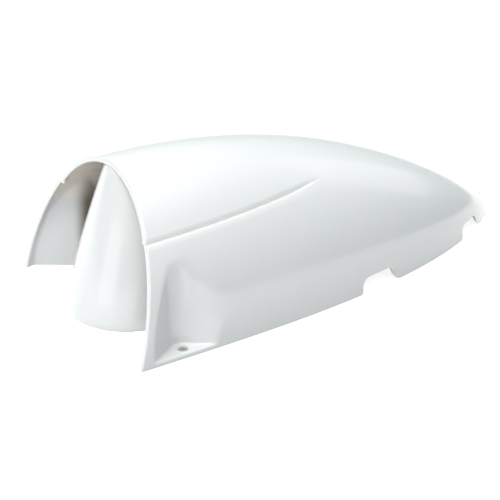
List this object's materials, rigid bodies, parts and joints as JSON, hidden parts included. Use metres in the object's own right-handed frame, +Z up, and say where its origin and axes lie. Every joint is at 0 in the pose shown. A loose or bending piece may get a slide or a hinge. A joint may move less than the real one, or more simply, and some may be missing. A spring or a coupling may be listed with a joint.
{
  "type": "deck ventilator cowl",
  "caption": "Low streamlined boat ventilator: open-mouthed hood over a spray-deflecting cone, water-trap duct with insect screen and rotary shutter, drain notches at the deck.",
  "frame": {"origin": "on the deck plane, at the middle of the length and width", "axes": "+X from the open mouth to the tail, +Y to the left side, +Z up from the deck"},
  "size_m": [0.4552, 0.22, 0.133],
  "materials": {
    "gelcoat": "glossy white gelcoat",
    "moulding": "satin white moulding",
    "stainless": "satin stainless",
    "screen_wire": "woven stainless wire",
    "gasket_rubber": "matt black",
    "grey_plastic": "satin grey moulding"
  },
  "bodies": {
    "cowl": {"hood_shell": "gelcoat", "deflector_cone": "gelcoat", "crown_screw_front": "stainless", "crown_screw_rear": "stainless", "foot_screw_left": "stainless", "foot_screw_right": "stainless", "deck_gasket": "gasket_rubber", "duct_base": "moulding", "tail_clip": "grey_plastic", "tail_clip_screw_left": "stainless", "tail_clip_screw_right": "stainless", "shutter_grille": "moulding", "insect_screen": "screen_wire", "screen_ring": "moulding", "pivot_pin": "stainless", "wave_washer": "stainless", "pivot_clip": "stainless", "base_screw_left_1": "stainless", "base_screw_left_2": "stainless", "base_screw_left_3": "stainless", "base_screw_right_1": "stainless", "base_screw_right_2": "stainless", "base_screw_right_3": "stainless", "ring_screw_1": "stainless", "ring_screw_2": "stainless", "ring_screw_3": "stainless", "ring_screw_4": "stainless"},
    "shutter": {"shutter_disc": "grey_plastic", "shutter_knob": "grey_plastic", "knob_screw_1": "stainless", "knob_screw_2": "stainless"}
  },
  "joints": [
    {"name": "shutter_turn", "type": "hinge", "parent": "cowl", "child": "shutter", "pos_m": [-0.0721, 0, 0.045], "axis": [0, 0, 1], "range_deg": [0, 30]}
  ]
}
